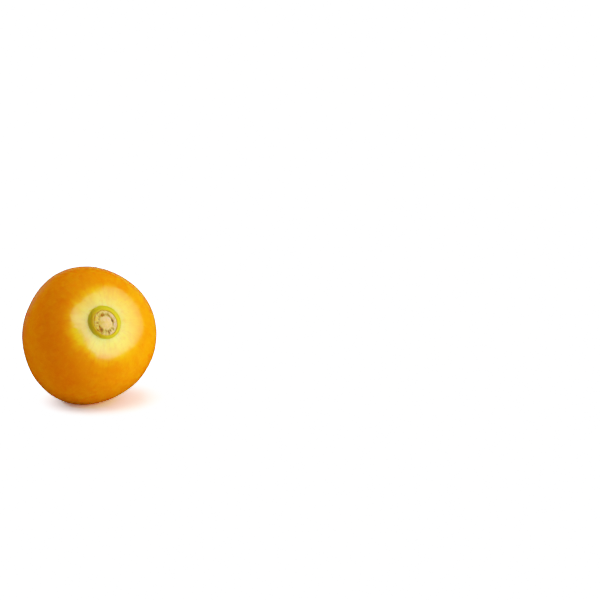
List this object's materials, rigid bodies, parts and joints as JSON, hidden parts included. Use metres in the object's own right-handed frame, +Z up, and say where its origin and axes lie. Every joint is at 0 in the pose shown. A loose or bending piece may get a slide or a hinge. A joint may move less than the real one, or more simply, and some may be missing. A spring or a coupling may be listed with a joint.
{
  "type": "physalis berry",
  "caption": "Ripe round physalis berry out of its husk, with a raised stem scar, lying on its side on a small flat spot.",
  "frame": {"origin": "middle of the berry's bottom, on the surface it lies on", "axes": "+Z up; the stem scar faces -Y and 28.5 degrees upwards; +X to the right of it"},
  "size_m": [0.0226, 0.0224, 0.0229],
  "materials": {
    "berry_skin": "thin taut waxy skin, glossy, orange, pale yellow round the stem scar",
    "collar_green": "satin yellow-green flesh of the stem scar's raised collar",
    "cork_tan": "dry matt cork with brown pits"
  },
  "bodies": {
    "root": {"berry": "berry_skin"}
  },
  "joints": []
}
